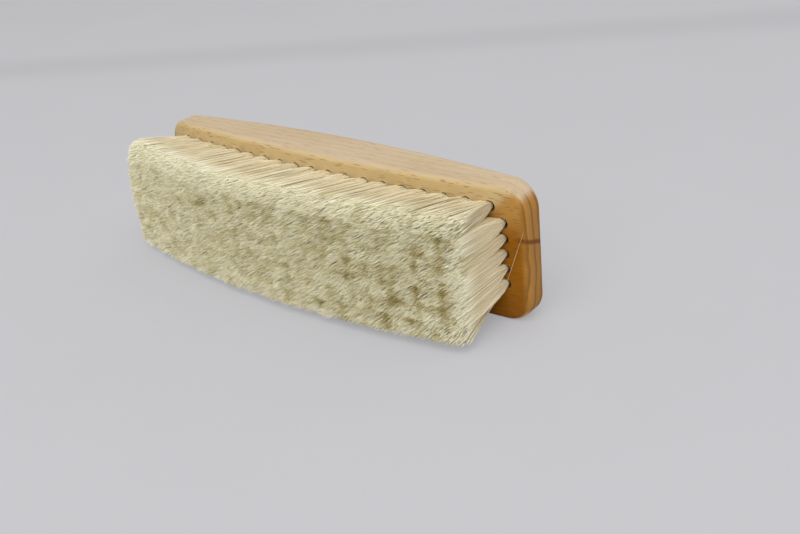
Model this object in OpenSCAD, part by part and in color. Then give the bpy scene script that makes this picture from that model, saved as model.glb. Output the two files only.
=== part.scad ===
// Shoe shine brush: a beech block with goat hair tufts, lying on one long side.
// X runs along the brush, the hair points to -Y and Z is up, across the width of the block.
// The origin is under the middle of the brush, on the surface that it lies on.

/* [Block] */
// Length of the wooden block
block_length = 178; // [150:1:210]
// Width of the block, which is its height as it lies on its side
block_width = 48; // [46:1:60]
// Thickness of the block at the middle of its length
middle_thickness = 20; // [18:0.5:26]
// Thickness of the block at its two ends
end_thickness = 9; // [8:0.5:14]
// How far the tufted face bulges at the middle, beyond its two ends
face_bulge = 4.5; // [2:0.5:8]
// Radius of the four corners, seen from the tufted face
corner_radius = 9; // [6:0.5:11]
// Radius of the rolled edge all round the tufted face
face_edge_radius = 2; // [1.5:0.25:3.5]
// Radius of the rolled edge all round the back
back_edge_radius = 2.5; // [1.5:0.25:3.5]

/* [Tuft layout] */
// Number of rows of tufts across the width
row_count = 7; // [5:1:7]
// Number of tufts in each of the two outer rows; the inner rows hold one more
outer_row_tufts = 19; // [15:1:19]
// From the middle of the last holes of an inner row to the end of the block
end_margin = 8.7; // [8:0.1:9.5]
// From the middle of the holes of an outer row to the side of the block, without the offset
side_margin = 7.8; // [7:0.1:9]
// How far the drilled field lies off the middle of the width, upwards as the brush lies
field_offset = 0.8; // [-1.5:0.1:1.5]
// Diameter of the hole drilled for each tuft
hole_diameter = 4; // [3:0.1:4.4]
// Depth of the holes below the tufted face
hole_depth = 7; // [5.5:0.25:7.5]

/* [Hair] */
// Free length of the hair in the last tufts of a row
end_hair_length = 26; // [20:0.5:36]
// Free length of the hair in the middle of the brush
middle_hair_length = 31.5; // [24:0.5:42]
// How far the field of tips is drawn in at each end from the full pitch of the last tufts
tip_draw_in = 4; // [1:0.5:6]
// How far each outer row leans out over the side by the time that it reaches its tips
tip_splay = 1; // [0:0.1:4]
// Number of strands that a tuft parts into
tuft_strands = 3; // [2:1:3]
// Least gap between neighbouring strands
strand_gap = 1; // [0.6:0.05:1.2]
// Share of its width that a strand keeps at its tip
tip_share = 0.25; // [0.2:0.05:0.8]
// Unevenness of the trimmed tips
tip_unevenness = 0.7; // [0:0.1:1.5]

/* [Anchors] */
// How far each end of a flat steel anchor bites into the wood beside its hole
anchor_bite = 0.45; // [0.3:0.05:0.7]
// Height of the anchor along the hole
anchor_height = 2; // [1.2:0.1:2.6]
// Thickness of the anchor
anchor_thickness = 0.45; // [0.3:0.05:0.8]
// Hair that folds under the anchor at the bottom of the hole
fold_thickness = 0.9; // [0.6:0.1:1.2]

/* [Fits] */
// Thickness of the slice of the tufted face that carries each row
slice_thickness = 1.2; // [0.8:0.1:1.6]
// Wood beyond the last hole at each end of a slice
slice_end_margin = 0.8; // [0.4:0.1:0.9]
// Clearance of a tuft in its hole and round its anchor
root_clearance = 0.1; // [0.05:0.05:0.2]

/* [Hidden] */
BEECH = [0.80, 0.62, 0.39];
HAIR = [0.90, 0.87, 0.74];
STEEL = [0.72, 0.73, 0.74];

half_length = block_length / 2;
half_width = block_width / 2;
face_radius = arc_radius(half_length, face_bulge);
back_bulge = middle_thickness - face_bulge - end_thickness;
back_radius = arc_radius(half_length, back_bulge);

// The bored field: every hole with a margin of wood round it, on slices as wide as a row.
inner_row_tufts = outer_row_tufts + 1;
last_tuft_x = half_length - end_margin;
tuft_pitch = 2 * last_tuft_x / (inner_row_tufts - 1);
row_pitch = 2 * (half_width - side_margin) / (row_count - 1);
field_half_length = last_tuft_x + hole_diameter / 2 + slice_end_margin;
field_half_width = row_count * row_pitch / 2;

// The hair: a field of tips on an arc that bulges further than the tufted face does.
root_radius = hole_diameter / 2 - root_clearance;
tip_end_y = face_y(last_tuft_x) - end_hair_length;
tip_middle_y = face_y(0) - middle_hair_length;
tip_arc_radius = arc_radius(last_tuft_x, tip_end_y - tip_middle_y);
tip_row_pitch = row_pitch + tip_splay / (row_count - 1) * 2;
tip_field_length = inner_row_tufts * tuft_pitch - 2 * tip_draw_in;
root_strand_pitch = 1.2;
root_strand_size = [0.95, 2.9];
flare_at = 0.36;
flare_share = 0.45;

// The anchor lies across the hole, above the fold of the hair.
anchor_length = hole_diameter + 2 * anchor_bite;
anchor_bottom = hole_depth - fold_thickness;

back_y_middle = middle_thickness - face_bulge;
depth_shift = -(tip_middle_y - tip_unevenness / 2 + back_y_middle) / 2;

corner_steps = 8;
side_steps = 10;
roll_steps = 5;

// Radius of the arc over a half chord with a given rise.
function arc_radius(half_chord, rise) = (half_chord * half_chord + rise * rise) / (2 * rise);

// How far an arc has fallen away at a distance x from its top.
function arc_fall(x, radius) = radius - sqrt(radius * radius - x * x);

function face_y(x) = -face_bulge + arc_fall(x, face_radius);
function back_y(x) = back_y_middle - arc_fall(x, back_radius);
function tip_y(x) = tip_middle_y + arc_fall(x, tip_arc_radius);

// Upper half of the block's outline, drawn in by inset all round, from the -X end to the +X end.
function upper_outline(inset) =
    let (
        corner_x = half_length - corner_radius,
        corner_z = half_width - corner_radius,
        radius = corner_radius - inset
    )
    concat(
        [for (i = [0:corner_steps]) let (a = 90 * i / corner_steps)
            [-corner_x - radius * cos(a), corner_z + radius * sin(a)]],
        [for (i = [1:side_steps - 1]) [-corner_x + 2 * corner_x * i / side_steps, corner_z + radius]],
        [for (i = [0:corner_steps]) let (a = 90 - 90 * i / corner_steps)
            [corner_x + radius * cos(a), corner_z + radius * sin(a)]]
    );

// One ring round the block: the upper outline there and the lower one back.
function outline_ring(inset, on_back, roll) =
    let (
        upper = upper_outline(inset),
        last = len(upper) - 1,
        plan = concat(upper, [for (i = [last:-1:0]) [upper[i].x, -upper[i].y]])
    )
    [for (p = plan) [p.x, on_back ? back_y(p.x) - roll : face_y(p.x) + roll, p.y]];

// The solid block: rings that roll round the face's edge, run over the side and roll round the back's.
module block_blank() {
    steps = [for (i = [0:roll_steps]) 90 * i / roll_steps];
    rings = concat(
        [for (a = steps) outline_ring(face_edge_radius * (1 - sin(a)), false, face_edge_radius * (1 - cos(a)))],
        [for (i = [roll_steps:-1:0]) outline_ring(
            back_edge_radius * (1 - sin(steps[i])), true, back_edge_radius * (1 - cos(steps[i])))]
    );
    n = len(rings[0]);
    top = (len(rings) - 1) * n;
    walls = [for (r = [0:len(rings) - 2], i = [0:n - 1]) let (
            a = r * n + i,
            b = r * n + (i + 1) % n
        ) each [[a, a + n, b], [b, a + n, b + n]]];
    caps = [for (i = [0:n / 2 - 2]) let (j = n - 1 - i) each [
            [i, i + 1, j],
            [j, i + 1, j - 1],
            [top + i, top + j, top + i + 1],
            [top + j, top + j - 1, top + i + 1]
        ]];
    polyhedron(points = [for (ring = rings) each ring], faces = concat(walls, caps), convexity = 4);
}

// Profile of a layer of the tufted face, from above its surface or level with it, down to depth.
module face_layer_profile(rise, depth) {
    face_stations = [for (p = upper_outline(face_edge_radius)) if (abs(p.x) < field_half_length) p.x];
    stations = concat([-field_half_length], face_stations, [field_half_length]);
    last = len(stations) - 1;
    polygon(concat(
        [for (x = stations) [x, face_y(x) - rise]],
        [for (i = [last:-1:0]) [stations[i], face_y(stations[i]) + depth]]
    ));
}

function tufts_in(row) = row == 1 || row == row_count ? outer_row_tufts : inner_row_tufts;
function row_z(row) = field_offset + ((row_count + 1) / 2 - row) * row_pitch;
function tuft_x(row, i) = (i - (tufts_in(row) - 1) / 2) * tuft_pitch;
function tip_row_z(row) = field_offset + ((row_count + 1) / 2 - row) * tip_row_pitch;
function tip_tuft_pitch(row) = tip_field_length / tufts_in(row);

// Puts its children at each hole mouth of a row, with Z running down the hole.
module at_holes(row) {
    for (i = [0:tufts_in(row) - 1])
        translate([tuft_x(row, i), face_y(tuft_x(row, i)), row_z(row)])
            rotate([-90, 0, 0]) children();
}

// Space that an anchor takes in its hole, with a clearance all round.
module anchor_shape(clearance) {
    translate([0, 0, anchor_bottom - anchor_height / 2])
        cube([
            anchor_length + 2 * clearance,
            anchor_thickness + 2 * clearance,
            anchor_height + 2 * clearance
        ], center = true);
}

// A strand of four sides through three sections, each [centre, half of its size].
module strand(sections) {
    points = [for (s = sections, corner = [[-1, -1], [1, -1], [1, 1], [-1, 1]])
        [s[0].x + corner.x * s[1].x, s[0].y, s[0].z + corner.y * s[1].y]];
    sides = [for (level = [0:len(sections) - 2], i = [0:3]) let (
            a = level * 4 + i,
            b = level * 4 + (i + 1) % 4
        ) each [[a, a + 4, b], [b, a + 4, b + 4]]];
    tip = (len(sections) - 1) * 4;
    ends = [[0, 1, 2], [0, 2, 3], [tip, tip + 2, tip + 1], [tip, tip + 3, tip + 2]];
    polyhedron(points = points, faces = concat(sides, ends));
}

// The strands of one tuft: together in the hole, quickly apart above it, then side by side to the tips.
module tuft_hair(row, i) {
    x = tuft_x(row, i);
    pitch = tip_tuft_pitch(row);
    tip_x = (i - (tufts_in(row) - 1) / 2) * pitch;
    root_y = face_y(x) + slice_thickness / 2;
    for (k = [0:tuft_strands - 1]) {
        side = k - (tuft_strands - 1) / 2;
        root_offset = side * root_strand_pitch;
        tip_offset = side * pitch / tuft_strands;
        trim = tip_unevenness * 0.5 * sin(137 * (i * tuft_strands + k) + 71 * row);
        root_half = root_strand_size / 2;
        full_half = [pitch / tuft_strands - strand_gap, tip_row_pitch - strand_gap] / 2;
        end_x = tip_x + tip_offset;
        flare_x = x + (tip_x - x) * flare_at + root_offset + (tip_offset - root_offset) * flare_share;
        flare_z = row_z(row) + (tip_row_z(row) - row_z(row)) * flare_at;
        flare_half = root_half + (full_half - root_half) * flare_share;
        strand([
            [[x + root_offset, root_y, row_z(row)], root_half],
            [[flare_x, root_y + (tip_y(x) - root_y) * flare_at, flare_z], flare_half],
            [[end_x, tip_y(end_x) + trim, tip_row_z(row)], full_half * tip_share]
        ]);
    }
}

// Places what is drawn about the middle of the width as the brush lies.
module lay_down() {
    translate([0, depth_shift, half_width]) children();
}

// The beech block, drilled for every tuft, slotted for the anchors and set back for the slices.
module block() {
    color(BEECH) lay_down() difference() {
        block_blank();
        translate([0, 0, field_offset]) linear_extrude(height = 2 * field_half_width, center = true)
            face_layer_profile(face_edge_radius, slice_thickness);
        for (row = [1:row_count]) at_holes(row) {
            cylinder(h = hole_depth, d = hole_diameter, $fn = 48);
            anchor_shape(0);
        }
    }
}

// One row of tufts: the hair in its holes and the strands outside, on their slice of the face.
module tuft_row(row) {
    lay_down() {
        color(HAIR) {
            at_holes(row) difference() {
                translate([0, 0, slice_thickness / 2])
                    cylinder(h = hole_depth - root_clearance - slice_thickness / 2, r = root_radius, $fn = 48);
                anchor_shape(root_clearance);
            }
            for (i = [0:tufts_in(row) - 1]) tuft_hair(row, i);
        }
        color(BEECH) translate([0, 0, row_z(row)])
            linear_extrude(height = row_pitch, center = true) face_layer_profile(0, slice_thickness);
    }
}

// The flat steel anchors that pin one row of tufts in its holes.
module anchor_row(row) {
    color(STEEL) lay_down() at_holes(row) anchor_shape(0);
}

block();
for (row = [1:row_count]) {
    tuft_row(row);
    anchor_row(row);
}
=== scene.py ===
import math

import bmesh
import bpy
import numpy as np
from mathutils import Matrix, Vector


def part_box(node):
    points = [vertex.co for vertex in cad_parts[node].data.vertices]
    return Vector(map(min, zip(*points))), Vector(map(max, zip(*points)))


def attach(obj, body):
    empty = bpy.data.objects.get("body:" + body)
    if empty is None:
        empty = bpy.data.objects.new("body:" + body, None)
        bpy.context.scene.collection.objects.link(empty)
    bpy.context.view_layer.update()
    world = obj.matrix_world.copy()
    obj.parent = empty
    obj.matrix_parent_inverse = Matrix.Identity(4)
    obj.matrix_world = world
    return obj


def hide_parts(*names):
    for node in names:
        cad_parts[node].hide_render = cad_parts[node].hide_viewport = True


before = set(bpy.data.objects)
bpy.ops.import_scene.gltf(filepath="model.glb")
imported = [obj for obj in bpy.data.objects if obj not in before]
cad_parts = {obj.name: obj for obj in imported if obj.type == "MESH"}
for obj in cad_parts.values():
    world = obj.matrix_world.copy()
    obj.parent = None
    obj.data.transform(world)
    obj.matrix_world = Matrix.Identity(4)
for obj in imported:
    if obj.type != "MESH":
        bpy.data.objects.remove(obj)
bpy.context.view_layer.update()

mm = 0.001

# The photograph's view: from the near end and a little above, with the lens tilted to one side.
lens_length = 40.5
eye = Vector((231.0, -199.5, 158.1)) * mm
heading, looking_down, tilt = math.radians(43.26), math.radians(27.54), math.radians(7.1)
camera = bpy.data.objects.new("camera", bpy.data.cameras.new("camera"))
camera.data.lens = lens_length
camera.data.clip_start = 5 * mm
camera.matrix_world = (
    Matrix.Translation(eye)
    @ Matrix.Rotation(heading, 4, "Z")
    @ Matrix.Rotation(math.pi / 2 - looking_down, 4, "X")
    @ Matrix.Rotation(-tilt, 4, "Z")
)
bpy.context.collection.objects.link(camera)
bpy.context.scene.camera = camera
bpy.context.scene.view_settings.view_transform = "Standard"

# White daylight from all round, with one broad soft window high up in front of the brush.
sky = bpy.data.worlds.new("sky")
sky.use_nodes = True
sky.node_tree.nodes["Background"].inputs["Color"].default_value = (1.0, 0.995, 0.985, 1)
sky.node_tree.nodes["Background"].inputs["Strength"].default_value = 0.57
bpy.context.scene.world = sky
window = bpy.data.objects.new("window", bpy.data.lights.new("window", "AREA"))
window.data.size = 1.5
window.data.energy = 16
window_place = Vector((0.4, -0.75, 1.15))
window_turn = window_place.to_track_quat("Z", "Y").to_matrix().to_4x4()
window.matrix_world = Matrix.Translation(window_place) @ window_turn
bpy.context.collection.objects.link(window)


class Channel:
    """One output in a material's nodes. Sums and products of channels add Math nodes."""

    def __init__(self, tree, socket=None):
        self.tree, self.socket = tree, socket

    def add(self, kind, output, settings, sockets):
        """Adds a node, makes its settings, then fills its sockets, and gives back one output."""
        node = self.tree.nodes.new("ShaderNode" + kind)
        for name, value in settings.items():
            setattr(node, name, value)
        for name, value in sockets.items():
            if isinstance(value, Channel):
                self.tree.links.new(value.socket, node.inputs[name])
            elif isinstance(value, tuple) and node.inputs[name].type == "RGBA":
                node.inputs[name].default_value = (*value, 1)
            else:
                node.inputs[name].default_value = value
        return Channel(self.tree, node.outputs[output])

    def math(self, operation, first, second):
        return self.add("Math", 0, {"operation": operation}, {0: first, 1: second})

    def __add__(self, other):
        return self.math("ADD", self, other)

    def __sub__(self, other):
        return self.math("SUBTRACT", self, other)

    def __rsub__(self, other):
        return self.math("SUBTRACT", other, self)

    def __mul__(self, other):
        return self.math("MULTIPLY", self, other)

    def __truediv__(self, other):
        return self.math("DIVIDE", self, other)

    def __abs__(self):
        return self.math("ABSOLUTE", self, 0.0)

    __radd__, __rmul__ = __add__, __mul__

    def ease(self, start, end):
        """0 before start and 1 after end, with a smooth rise between them."""
        settings = {"interpolation_type": "SMOOTHSTEP", "clamp": True}
        return self.add("MapRange", 0, settings, {"Value": self, "From Min": start, "From Max": end})

    def blend(self, low, high):
        """A colour that goes from low to high as this channel goes from 0 to 1."""
        return self.add("Mix", 2, {"data_type": "RGBA"}, {0: self, 6: low, 7: high})

    def stretched(self, size):
        """These coordinates, in millimetres, measured in cells of a size along each axis."""
        cell = tuple(1 / s for s in size)
        return self.add("VectorMath", 0, {"operation": "MULTIPLY"}, {0: self, 1: cell})

    def noise(self, size, detail=2.0, roughness=0.5):
        sockets = {"Vector": self.stretched(size), "Scale": 1.0}
        return self.add("TexNoise", 0, {}, {**sockets, "Detail": detail, "Roughness": roughness})


def finish_material(name):
    """A new material, its place coordinates in millimetres and its surface shader."""
    material = bpy.data.materials.new(name)
    material.use_nodes = True
    nodes = Channel(material.node_tree)
    metres = nodes.add("TexCoord", "Object", {}, {})
    place = nodes.add("VectorMath", 0, {"operation": "SCALE"}, {0: metres, "Scale": 1 / mm})
    return material, place, material.node_tree.nodes["Principled BSDF"]


def paint(shader, channels, constants):
    for name, channel in channels.items():
        channel.tree.links.new(channel.socket, shader.inputs[name])
    for name, value in constants.items():
        shader.inputs[name].default_value = value


def new_piece(name, mesh, material):
    piece = bpy.data.objects.new(name, mesh)
    mesh.materials.clear()
    mesh.materials.append(material)
    bpy.context.collection.objects.link(piece)
    return piece


# The table: a plain off-white top that the brush lies on. A faint soft grey line is painted
# across it, far behind the brush: painted shade along the back edge of the white top.
table_half = 1.6
table_shape = bmesh.new()
bmesh.ops.create_grid(table_shape, x_segments=1, y_segments=1, size=table_half)
material, place, shader = finish_material("table_white")
speckle = place.noise((60, 60, 60), 4)
white = speckle.blend((0.555, 0.553, 0.578), (0.575, 0.574, 0.60))
x, y = (place.add("SeparateXYZ", axis, {}, {0: place}) for axis in "XY")
# Painted shade: a soft grey line across the top, far behind the brush.
line_slope, line_offset = 0.579, 402
line_distance = abs((y - line_slope * x - line_offset) / math.hypot(1, line_slope))
far_shade_line = 1 - line_distance.ease(5, 45)
white = (far_shade_line * 0.14).blend(white, (0.30, 0.30, 0.32))
paint(shader, {"Base Color": white}, {"Roughness": 0.75, "Specular IOR Level": 0.2})
glow = place.add("Emission", 0, {}, {"Color": white, "Strength": 1.0})
seen = place.add("LightPath", "Is Camera Ray", {}, {})
mixed = place.add("MixShader", 0, {}, {0: seen * 0.5, 2: glow})
tree = material.node_tree
tree.links.new(shader.outputs[0], mixed.socket.node.inputs[1])
tree.links.new(mixed.socket, tree.nodes["Material Output"].inputs["Surface"])
table_mesh = bpy.data.meshes.new("table")
table_shape.to_mesh(table_mesh)
table_shape.free()
table = new_piece("table", table_mesh, material)

# The block is one piece of beech, sawn, drilled, sanded and lacquered. Its tufted face and its back
# are both arched along the length, its corners are rounded and both rims are rolled over.
block_low, block_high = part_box("block")
half_length, width = block_high.x, block_high.z
face_middle, back_middle = block_low.y, block_high.y
face_bulge, end_thickness = 4.5 * mm, 9 * mm
back_bulge = back_middle - face_middle - face_bulge - end_thickness
corner_radius, face_rim_radius, back_rim_radius = 9 * mm, 2 * mm, 2.5 * mm


def arc_radius(half_chord, rise):
    return (half_chord**2 + rise**2) / (2 * rise)


def fall(x, radius):
    return radius - np.sqrt(radius**2 - x**2)


face_radius = arc_radius(half_length, face_bulge)
back_radius = arc_radius(half_length, back_bulge)


def face_y(x):
    return face_middle + fall(x, face_radius)


beech = bmesh.new()
bmesh.ops.create_cube(beech, size=1)
bmesh.ops.scale(beech, verts=beech.verts, vec=(2 * half_length, 1, width))
bmesh.ops.translate(beech, verts=beech.verts, vec=(0, 0, width / 2))
corners = [e for e in beech.edges if abs(e.verts[0].co.y - e.verts[1].co.y) > 0.5]
bmesh.ops.bevel(beech, geom=corners, offset=corner_radius, offset_type="OFFSET", affect="EDGES",
                segments=10, profile=0.5, material=-1)
arch_steps = 40
for step in range(1, arch_steps):
    x = (half_length - corner_radius) * (2 * step / arch_steps - 1)
    bmesh.ops.bisect_plane(beech, geom=beech.verts[:] + beech.edges[:] + beech.faces[:],
                           plane_co=(x, 0, 0), plane_no=(1, 0, 0))
for v in beech.verts:
    on_back = v.co.y > 0
    v.co.y = back_middle - fall(v.co.x, back_radius) if on_back else face_y(v.co.x)
for side, rim_radius in ((-1, face_rim_radius), (1, back_rim_radius)):
    beech.normal_update()
    rim = [e for e in beech.edges
           if max(side * f.normal.y for f in e.link_faces) > 0.9
           and min(side * f.normal.y for f in e.link_faces) < 0.3]
    bmesh.ops.bevel(beech, geom=rim, offset=rim_radius, offset_type="OFFSET", affect="EDGES",
                    segments=6, profile=0.5, material=-1)
bmesh.ops.recalc_face_normals(beech, faces=beech.faces)

# The tufts sit in blind holes drilled square to the length, in seven rows. The outer rows hold one
# tuft less and lie half a pitch further in.
rows, middle_row, outer_row_tufts = 7, 4, 19
hole_radius, hole_depth, anchor_length = 2 * mm, 7 * mm, 4.9 * mm


def tuft_count(row):
    return outer_row_tufts + (0 if row in (1, rows) else 1)


def row_height(row):
    low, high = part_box(f"tuft_row_{row}")
    return (low.z + high.z) / 2


field_middle = row_height(middle_row)
last_row = row_height(1) - field_middle
last_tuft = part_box(f"anchor_row_{middle_row}")[1].x - anchor_length / 2
tuft_pitch = 2 * last_tuft / (tuft_count(middle_row) - 1)


def tuft_places(row):
    count = tuft_count(row)
    return (np.arange(count) - (count - 1) / 2) * tuft_pitch


drills = bmesh.new()
hole_margin = 2 * mm
for row in range(1, rows + 1):
    for x in tuft_places(row):
        y = face_y(x) + (hole_depth - hole_margin) / 2
        bmesh.ops.create_cone(drills, cap_ends=True, segments=20, radius1=hole_radius,
                              radius2=hole_radius, depth=hole_depth + hole_margin,
                              matrix=Matrix.Translation((x, y, row_height(row)))
                              @ Matrix.Rotation(math.pi / 2, 4, "X"))
drill_mesh = bpy.data.meshes.new("drills")
drills.to_mesh(drill_mesh)
drills.free()
drill_bits = bpy.data.objects.new("drills", drill_mesh)
bpy.context.collection.objects.link(drill_bits)

beech_mesh = bpy.data.meshes.new("beech_block")
beech.to_mesh(beech_mesh)
beech.free()

# Flat-sawn beech under a thin lacquer: pale pinkish sides, a golden tufted face that is painted darker
# low down as painted shade under and beside the tufts, short dark ray flecks along the grain and
# growth rings that show on the two ends.
material, place, shader = finish_material("lacquered_beech")
x, y, z = (place.add("SeparateXYZ", axis, {}, {0: place}) for axis in "XYZ")
depth = y - (x * x / (2 * face_radius / mm) + face_middle / mm)
on_face = 1 - depth.ease(0.2, 1.1)
on_end = abs(x).ease(half_length / mm - 3.2, half_length / mm - 0.8)
ring_gap = 3.3
ring_place = (y + place.noise((70, 25, 22), 2) * 5.0) / ring_gap
ring = ring_place.math("FRACT", ring_place, 0.0)
late_wood = ring.ease(0.5, 0.88) * (1 - ring.ease(0.9, 0.96))
tone = place.noise((70, 14, 16), 3)
grain = place.noise((16, 0.5, 0.5), 4, 0.6)
pores = place.noise((3.0, 0.18, 0.18), 2, 0.6)
flecks = place.add("TexVoronoi", "Distance", {"feature": "F1"},
                   {"Vector": place.stretched((9.0, 0.7, 0.42)), "Scale": 1.0, "Randomness": 1.0})
fleck = 1 - flecks.ease(0.17, 0.26)
# Painted shade: the walls of the drilled holes are painted a dark warm brown, without the colour of
# the face.
drilled_up, drilled_along = last_row / mm + 2.1, last_tuft / mm + 2.3
shaded_hole_wall = depth.ease(0.2, 0.6) * (1 - depth.ease(7.5, 8.5))
shaded_hole_wall = shaded_hole_wall * (1 - abs(z - field_middle / mm).ease(drilled_up, drilled_up + 0.3))
shaded_hole_wall = shaded_hole_wall * (1 - abs(x).ease(drilled_along, drilled_along + 0.4))
side_colour = tone.ease(0.35, 0.65).blend((0.63, 0.495, 0.335), (0.58, 0.45, 0.285))
golden = tone.ease(0.35, 0.65).blend((0.64, 0.485, 0.25), (0.60, 0.445, 0.215))
shaded_amber = tone.ease(0.35, 0.65).blend((0.29, 0.105, 0.003), (0.25, 0.082, 0.002))
half_shaded_honey = tone.ease(0.35, 0.65).blend((0.50, 0.27, 0.07), (0.46, 0.24, 0.055))
end_colour = tone.ease(0.35, 0.65).blend((0.42, 0.195, 0.035), (0.36, 0.155, 0.022))
# Painted shade: low on the face the colour darkens to a deep orange-brown where the tufts shade it;
# only the band above the hair keeps the golden colour.
hair_shaded_face = z.ease(29, 43).blend(shaded_amber, half_shaded_honey)
out_of_hair_shade = (z + (82 - x) * 0.8).ease(42.0, 47.0) * z.ease(36, 40)
face_colour = out_of_hair_shade.blend(hair_shaded_face, golden)
colour = on_face.blend(side_colour, face_colour)
colour = shaded_hole_wall.blend(colour, (0.45, 0.24, 0.085))
colour = (on_end * 0.95).blend(colour, end_colour)
colour = (late_wood * (0.1 + 0.65 * on_end)).blend(colour, (0.20, 0.085, 0.018))
colour = (grain.ease(0.45, 0.8) * 0.28).blend(colour, (0.42, 0.25, 0.10))
colour = (fleck * (1 - on_end) * (0.32 + 0.5 * on_face)).blend(colour, (0.18, 0.07, 0.010))
# Wear: a dark smudge across the near end of the face and a grey scuff at its upper corner.
smudge_height = 30.6 - (y - 10.4) * 0.35
smudge = (1 - abs(z - smudge_height).ease(0.3, 1.3)) * x.ease(84.0, 87.0)
smudge = smudge * place.noise((3, 2, 1.5), 2).ease(0.2, 0.5)
colour = (smudge * 0.8).blend(colour, (0.15, 0.05, 0.010))
scuff = (1 - abs(x - 84.6).ease(0.3, 1.4)) * z.ease(45.0, 46.5) * (1 - y.ease(10.8, 12.5))
scuff = scuff * place.noise((1.6, 1.6, 1.6), 2).ease(0.35, 0.6)
colour = (scuff * 0.6).blend(colour, (0.33, 0.31, 0.19))
gloss = 0.46 + 0.12 * grain + 0.1 * fleck
relief = place.add("Bump", 0, {}, {"Strength": 0.12, "Distance": 0.2 * mm,
                                   "Height": pores * 0.5 + grain * 0.4 - fleck * 0.4})
channels = {"Base Color": colour, "Roughness": gloss, "Normal": relief}
paint(shader, channels, {"Specular IOR Level": 0.08})

block = new_piece("beech_block", beech_mesh, material)
cut = block.modifiers.new("holes", "BOOLEAN")
cut.operation, cut.solver, cut.object = "DIFFERENCE", "EXACT", drill_bits
drilled = bpy.data.meshes.new_from_object(block.evaluated_get(bpy.context.evaluated_depsgraph_get()))
block.modifiers.clear()
block.data = drilled
bpy.data.objects.remove(drill_bits)
drilled.shade_smooth()
drilled.set_sharp_from_angle(angle=math.radians(35))
weighted = block.modifiers.new("flat_faces", "WEIGHTED_NORMAL")
weighted.keep_sharp = True
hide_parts("block")
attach(block, "root")

# A flat steel anchor bites across the bottom of each hole and pins the folded tuft.
material, place, shader = finish_material("anchor_wire")
drawn = place.noise((6.0, 0.2, 0.2), 3)
steel = drawn.blend((0.50, 0.51, 0.52), (0.68, 0.69, 0.70))
paint(shader, {"Base Color": steel, "Roughness": 0.28 + 0.2 * drawn}, {"Metallic": 1.0})
for row in range(1, rows + 1):
    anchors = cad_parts[f"anchor_row_{row}"]
    for material_slot in anchors.material_slots:
        material_slot.material = material

# The filling is goat hair: each tuft is folded over its anchor, leaves its hole as a packed round
# bundle, spreads at once to meet its neighbours and is trimmed with them to one arched field. Its
# middle stands a little proud there. Towards the far end the hair leans outward along the block.
end_hair, middle_hair = 26 * mm, 31.5 * mm
draw_in, splay_up, splay_down = 1.4 * mm, 2.8 * mm, 2.0 * mm
far_lean, far_rise, far_sag = 9.0 * mm, -0.6 * mm, 1.2 * mm
top_round, end_round = 5 * mm, 2.5 * mm
hairs_in_tuft, locks_in_tuft = 465, 6
hair_radius, bundle_radius, root_depth, slack = 0.17 * mm, 1.15 * mm, 1.2 * mm, 0.65 * mm
crowding, squaring, fanning, quick_along, quick_across = 0.85, 5, 1.1, 14, 4.5
overfill = (1.12, 1.08)
lock_pull, tip_scatter, hair_scatter = 0.04, 0.3 * mm, 0.12 * mm
lock_trim, hair_trim, lowest_hair = 0.25 * mm, 0.6 * mm, 0.7 * mm
tint_middle, tint_spread, lock_tint_spread, dark_share = 0.15, 0.22, 0.14, 0.004
strand_levels = np.array([0.0, 0.2, 0.5, 0.94, 1.0])
girth = np.array([1.0, 1.0, 1.0, 0.85, 0.0])
tip_middle = face_y(0) - middle_hair
tip_end = face_y(last_tuft) - end_hair
tip_radius = arc_radius(last_tuft, tip_end - tip_middle)
field_end = last_tuft + 0.5 * mm
row_pitch = row_height(1) - row_height(2)
tip_cell = np.array([tuft_pitch * (1 - draw_in / last_tuft), row_pitch * 1.15]) / 2
field_top = field_middle + last_row + splay_up + tip_cell[1]


def levels_of(shape, levels):
    """Cuts a shape of unit depth. Gives its vertices' levels and sides, and its faces."""
    for level in levels[1:-1]:
        bmesh.ops.bisect_plane(shape, geom=shape.verts[:] + shape.edges[:] + shape.faces[:],
                               plane_co=(0, 0, level - 0.5), plane_no=(0, 0, 1))
    bmesh.ops.triangulate(shape, faces=shape.faces)
    shape.verts.index_update()
    level = np.array([int(np.abs(levels - 0.5 - v.co.z).argmin()) for v in shape.verts])
    side = np.array([v.co.xy[:] for v in shape.verts])
    faces = np.array([[v.index for v in f.verts] for f in shape.faces])
    shape.free()
    return level, side, faces


strand = bmesh.new()
bmesh.ops.create_cone(strand, cap_ends=False, segments=3, radius1=1, radius2=0, depth=1)
bmesh.ops.remove_doubles(strand, verts=strand.verts, dist=0.001)
strand_level, strand_side, strand_faces = levels_of(strand, strand_levels)
strand_side /= np.maximum(np.linalg.norm(strand_side, axis=1, keepdims=True), 1e-3)

# The middle of each tuft, just under its outer hairs.
core_levels, core_tint = np.array([0.06, 0.16, 0.42, 0.78]), 0.2
core = bmesh.new()
bmesh.ops.create_cube(core, size=1)
core_step, core_side, core_faces = levels_of(core, np.linspace(0, 1, len(core_levels)))
core_square, core_level = core_side * 2, core_levels[core_step][:, None]

# Goat hair is cream for most of its length and yellower at the tip. The khaki to brown at the tips is
# painted shade, on the shaded face of the tips and in the valleys between tufts. A few hairs are dark.
material, place, shader = finish_material("goat_hair")
shade = place.add("Attribute", "Fac", {"attribute_name": "shade"}, {})
along = place.add("Attribute", "Fac", {"attribute_name": "along"}, {})
root_colour = shade.blend((0.81, 0.72, 0.505), (0.75, 0.65, 0.41))
tip_colour = shade.blend((0.97, 0.935, 0.74), (0.65, 0.565, 0.24))
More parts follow.
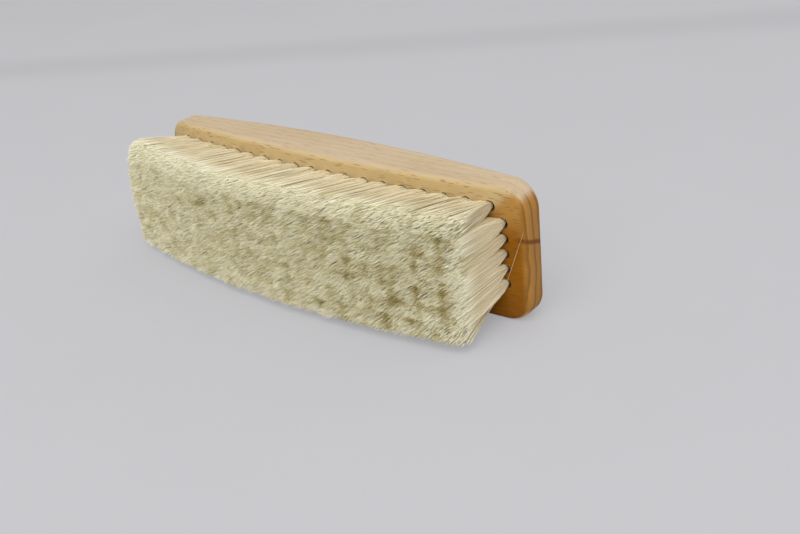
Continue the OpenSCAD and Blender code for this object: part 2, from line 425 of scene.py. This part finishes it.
# Painted shade: the most shaded hairs turn brown at their tips, in the valleys between tufts.
tip_colour = (shade.ease(0.6, 0.97) * 0.6).blend(tip_colour, (0.41, 0.31, 0.10))
colour = along.ease(0.62, 1.0).blend(root_colour, tip_colour)
colour = shade.ease(0.985, 0.99).blend(colour, (0.20, 0.14, 0.08))
paint(shader, {"Base Color": colour}, {"Roughness": 0.6, "Specular IOR Level": 0.2})

chance = np.random.default_rng(11)
patch_size, patch_cells, cells_below = 3.0 * mm, 72, 4
patch_values = chance.normal(0, 1, (patch_cells, patch_cells))


def patchiness(x, z):
    """A smooth random value, mostly from -1 to 1, at places on the field of tips."""
    u, v = x / patch_size + patch_cells / 2, z / patch_size + cells_below
    i, j = np.floor(u).astype(int), np.floor(v).astype(int)
    a, b = u - i, v - j
    a, b = a * a * (3 - 2 * a), b * b * (3 - 2 * b)
    low = patch_values[i, j] * (1 - a) + patch_values[i + 1, j] * a
    high = patch_values[i, j + 1] * (1 - a) + patch_values[i + 1, j + 1] * a
    return low * (1 - b) + high * b


class Tuft:
    """One tuft: its hole, the middle of its tips, and the ways in which nothing is beside it."""

    def __init__(self, row, hole_x):
        self.hole = np.array([hole_x, row_height(row)])
        self.place = (self.hole[1] - field_middle) / last_row
        self.edge = (np.sign(hole_x) * (abs(hole_x) > last_tuft - tuft_pitch * 0.6),
                     np.sign(self.place) * (abs(self.place) > 0.99))
        splay = abs(self.place) ** 1.5 * (splay_up if self.place > 0 else -splay_down)
        self.tips = self.hole + (-hole_x * draw_in / last_tuft, splay)
        # The bundle stands nearer the far side of its hole.
        self.root = self.hole - (slack, 0)

    def tip_places(self, square):
        """Where the tips lie round the middle of the tuft's tips."""
        reach = square * tip_cell
        if self.edge[0]:
            outward = square[:, 0] * self.edge[0] > 0
            reach[outward, 0] = square[outward, 0] * (field_end - abs(self.tips[0]))
        return reach

    def paths(self, square, tip, trim, level):
        """Points at the levels of each hair, from its place in the bundle, its tip and its trim."""
        u, v = square.T
        disc = np.stack([u * np.sqrt(1 - v * v / 2), v * np.sqrt(1 - u * u / 2)], 1) * bundle_radius
        field = tip + self.tips
        tip_y = tip_middle + fall(np.clip(field[:, 0], -last_tuft, last_tuft), tip_radius) + trim
        root_y = face_y(self.hole[0]) + root_depth
        far = np.clip((last_tuft - field[:, 0]) / (2 * last_tuft), 0, 1.1) ** 1.2
        lean = np.stack([-far * far_lean * (1 - 0.25 * self.place - 0.25 * self.place**2),
                         far * (max(self.place, 0) * far_rise + min(self.place, 0) * far_sag)], 1)
        lean += self.tips - self.root
        points = np.empty((*level.shape, 3))
        for k, up in enumerate(level.T):
            squared = 1 - (1 - up) ** squaring
            for axis, quick, outward in ((0, quick_along, up**fanning), (1, quick_across, up)):
                free = square[:, axis] * self.edge[axis] > 0
                spread = np.where(free, outward, 1 - (1 - up) ** quick)
                bundle = square[:, axis] * bundle_radius
                packed = disc[:, axis] + (bundle - disc[:, axis]) * squared
                points[:, k, 2 * axis] = (self.root[axis] + packed + (tip[:, axis] - bundle) * spread
                                          + lean[:, axis] * up)
            points[:, k, 1] = root_y + (tip_y - root_y) * up
        return points


def hairs_of(tuft, count):
    """The paths, levels and tints of the hairs of a tuft."""
    square = chance.uniform(-1, 1, (count, 2))
    square = np.sign(square) * np.abs(square) ** crowding
    locks = chance.uniform(-0.9, 0.9, (locks_in_tuft, 2)) * tip_cell
    tip = tuft.tip_places(square)
    nearest = ((tip[:, None] - locks) ** 2).sum(2).argmin(1)
    scatter = chance.normal(0, tip_scatter, (count, 2))
    tip = tip * overfill + (locks[nearest] - tip) * lock_pull + scatter
    field = tip + tuft.tips
    rim = (square**4).sum(1) / 2
    patch = patchiness(field[:, 0], field[:, 1])
    near = np.clip((field[:, 0] / last_tuft + 0.6) / 1.4, 0, 1)
    trim = chance.normal(0, lock_trim, locks_in_tuft)[nearest] + chance.exponential(hair_trim, count)
    trim += rim * (0.4 + 0.5 * near + 0.4 * patch) * mm
    below_top, before_end = field_top - field[:, 1], field_end - np.abs(field[:, 0])
    for inside, radius in ((below_top, top_round), (before_end, end_round)):
        short = np.clip(radius - inside, 0, radius)
        trim += radius - np.sqrt(radius**2 - 0.98 * short**2)
    level = np.tile(strand_levels, (count, 1))
    level[:, 1] = chance.uniform(0.05, 0.25, count)
    level[:, 2] = chance.uniform(0.35, 0.65, count)
    points = tuft.paths(square, tip, trim, level)
    points[:, 1:, 0::2] += chance.normal(0, hair_scatter, (count, len(strand_levels) - 1, 2))
    points[:, :, 2] = np.maximum(points[:, :, 2], lowest_hair)
    tint_and_shade = tint_middle + tint_spread * chance.normal(0, 1, count)
    tint_and_shade += lock_tint_spread * chance.normal(0, 1, locks_in_tuft)[nearest]
    # Painted shade: the hairs are made more khaki at the rims of each tuft, where the valleys between
    # tufts are, most towards the near end, and unevenly in patches.
    tint_and_shade += (0.12 + 0.08 * near) * patch + (0.15 + 0.65 * near) * rim * (1 + 0.5 * patch)
    # Painted light: the hair is made paler along the rounded top edge and at the near end of the
    # field, where it catches the light.
    tint_and_shade -= 0.6 * np.clip(1 - below_top / (1.5 * top_round), 0, 1)
    tint_and_shade -= 0.5 * np.clip(1 - (field_end - field[:, 0]) / (4.5 * mm), 0, 1)
    tint_and_shade = np.clip(tint_and_shade, 0, 0.97)
    tint_and_shade[chance.random(count) < dark_share] = 1.0
    return points, level, tint_and_shade


# One loose hair has slipped out of its tuft and lies up over the end of the face.
loose_row = rows - 1
loose_root, loose_tip = np.array([(80.5, 9.4, 13.6), (88.9, 9.0, 35.4)]) * mm
for row in range(1, rows + 1):
    tufts = [Tuft(row, x) for x in tuft_places(row)]
    hairs = [hairs_of(tuft, hairs_in_tuft) for tuft in tufts]
    points, level, tints_and_shade = (np.concatenate(part) for part in zip(*hairs))
    count = len(points)
    thick = hair_radius * girth[strand_level] * np.ones((count, 1))
    if row == loose_row:
        points[-1] = loose_root + (loose_tip - loose_root) * strand_levels[:, None]
        thick[-1], tints_and_shade[-1] = thick[-1] * 0.4, 0.9
    corners = points[:, strand_level].copy()
    turn = chance.uniform(0, 2 * math.pi, count)
    side_x = strand_side[:, 0] * np.cos(turn)[:, None] - strand_side[:, 1] * np.sin(turn)[:, None]
    side_z = strand_side[:, 0] * np.sin(turn)[:, None] + strand_side[:, 1] * np.cos(turn)[:, None]
    corners[:, :, 0] += side_x * thick
    corners[:, :, 2] += side_z * thick
    cores = [t.paths(core_square, t.tip_places(core_square), 0, core_level)[:, 0] for t in tufts]
    cores = np.array(cores)
    corners = np.concatenate([corners.reshape(-1, 3), cores.reshape(-1, 3)])
    faces = strand_faces[None] + (np.arange(count) * len(strand_level))[:, None, None]
    core_start = count * len(strand_level) + np.arange(len(tufts)) * len(core_step)
    row_core_faces = core_faces[None] + core_start[:, None, None]
    faces = np.concatenate([faces.reshape(-1, 3), row_core_faces.reshape(-1, 3)])
    shades = np.concatenate([np.repeat(tints_and_shade, len(strand_level)), np.full(cores.size // 3, core_tint)])
    alongs = np.concatenate([level[:, strand_level].ravel(), np.tile(core_level[:, 0], len(tufts))])
    hair_mesh = bpy.data.meshes.new(f"goat_hair_row_{row}")
    hair_mesh.vertices.add(corners.size // 3)
    hair_mesh.vertices.foreach_set("co", corners.ravel())
    hair_mesh.loops.add(faces.size)
    hair_mesh.loops.foreach_set("vertex_index", faces.ravel())
    hair_mesh.polygons.add(faces.size // 3)
    hair_mesh.polygons.foreach_set("loop_start", np.arange(0, faces.size, 3))
    hair_mesh.update(calc_edges=True)
    hair_mesh.shade_flat()
    for name, values in (("shade", shades), ("along", alongs)):
        layer = hair_mesh.attributes.new(name, "FLOAT", "POINT")
        layer.data.foreach_set("value", values.astype(np.float32))
    hair_row = new_piece(f"goat_hair_row_{row}", hair_mesh, material)
    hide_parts(f"tuft_row_{row}")
    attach(hair_row, "root")
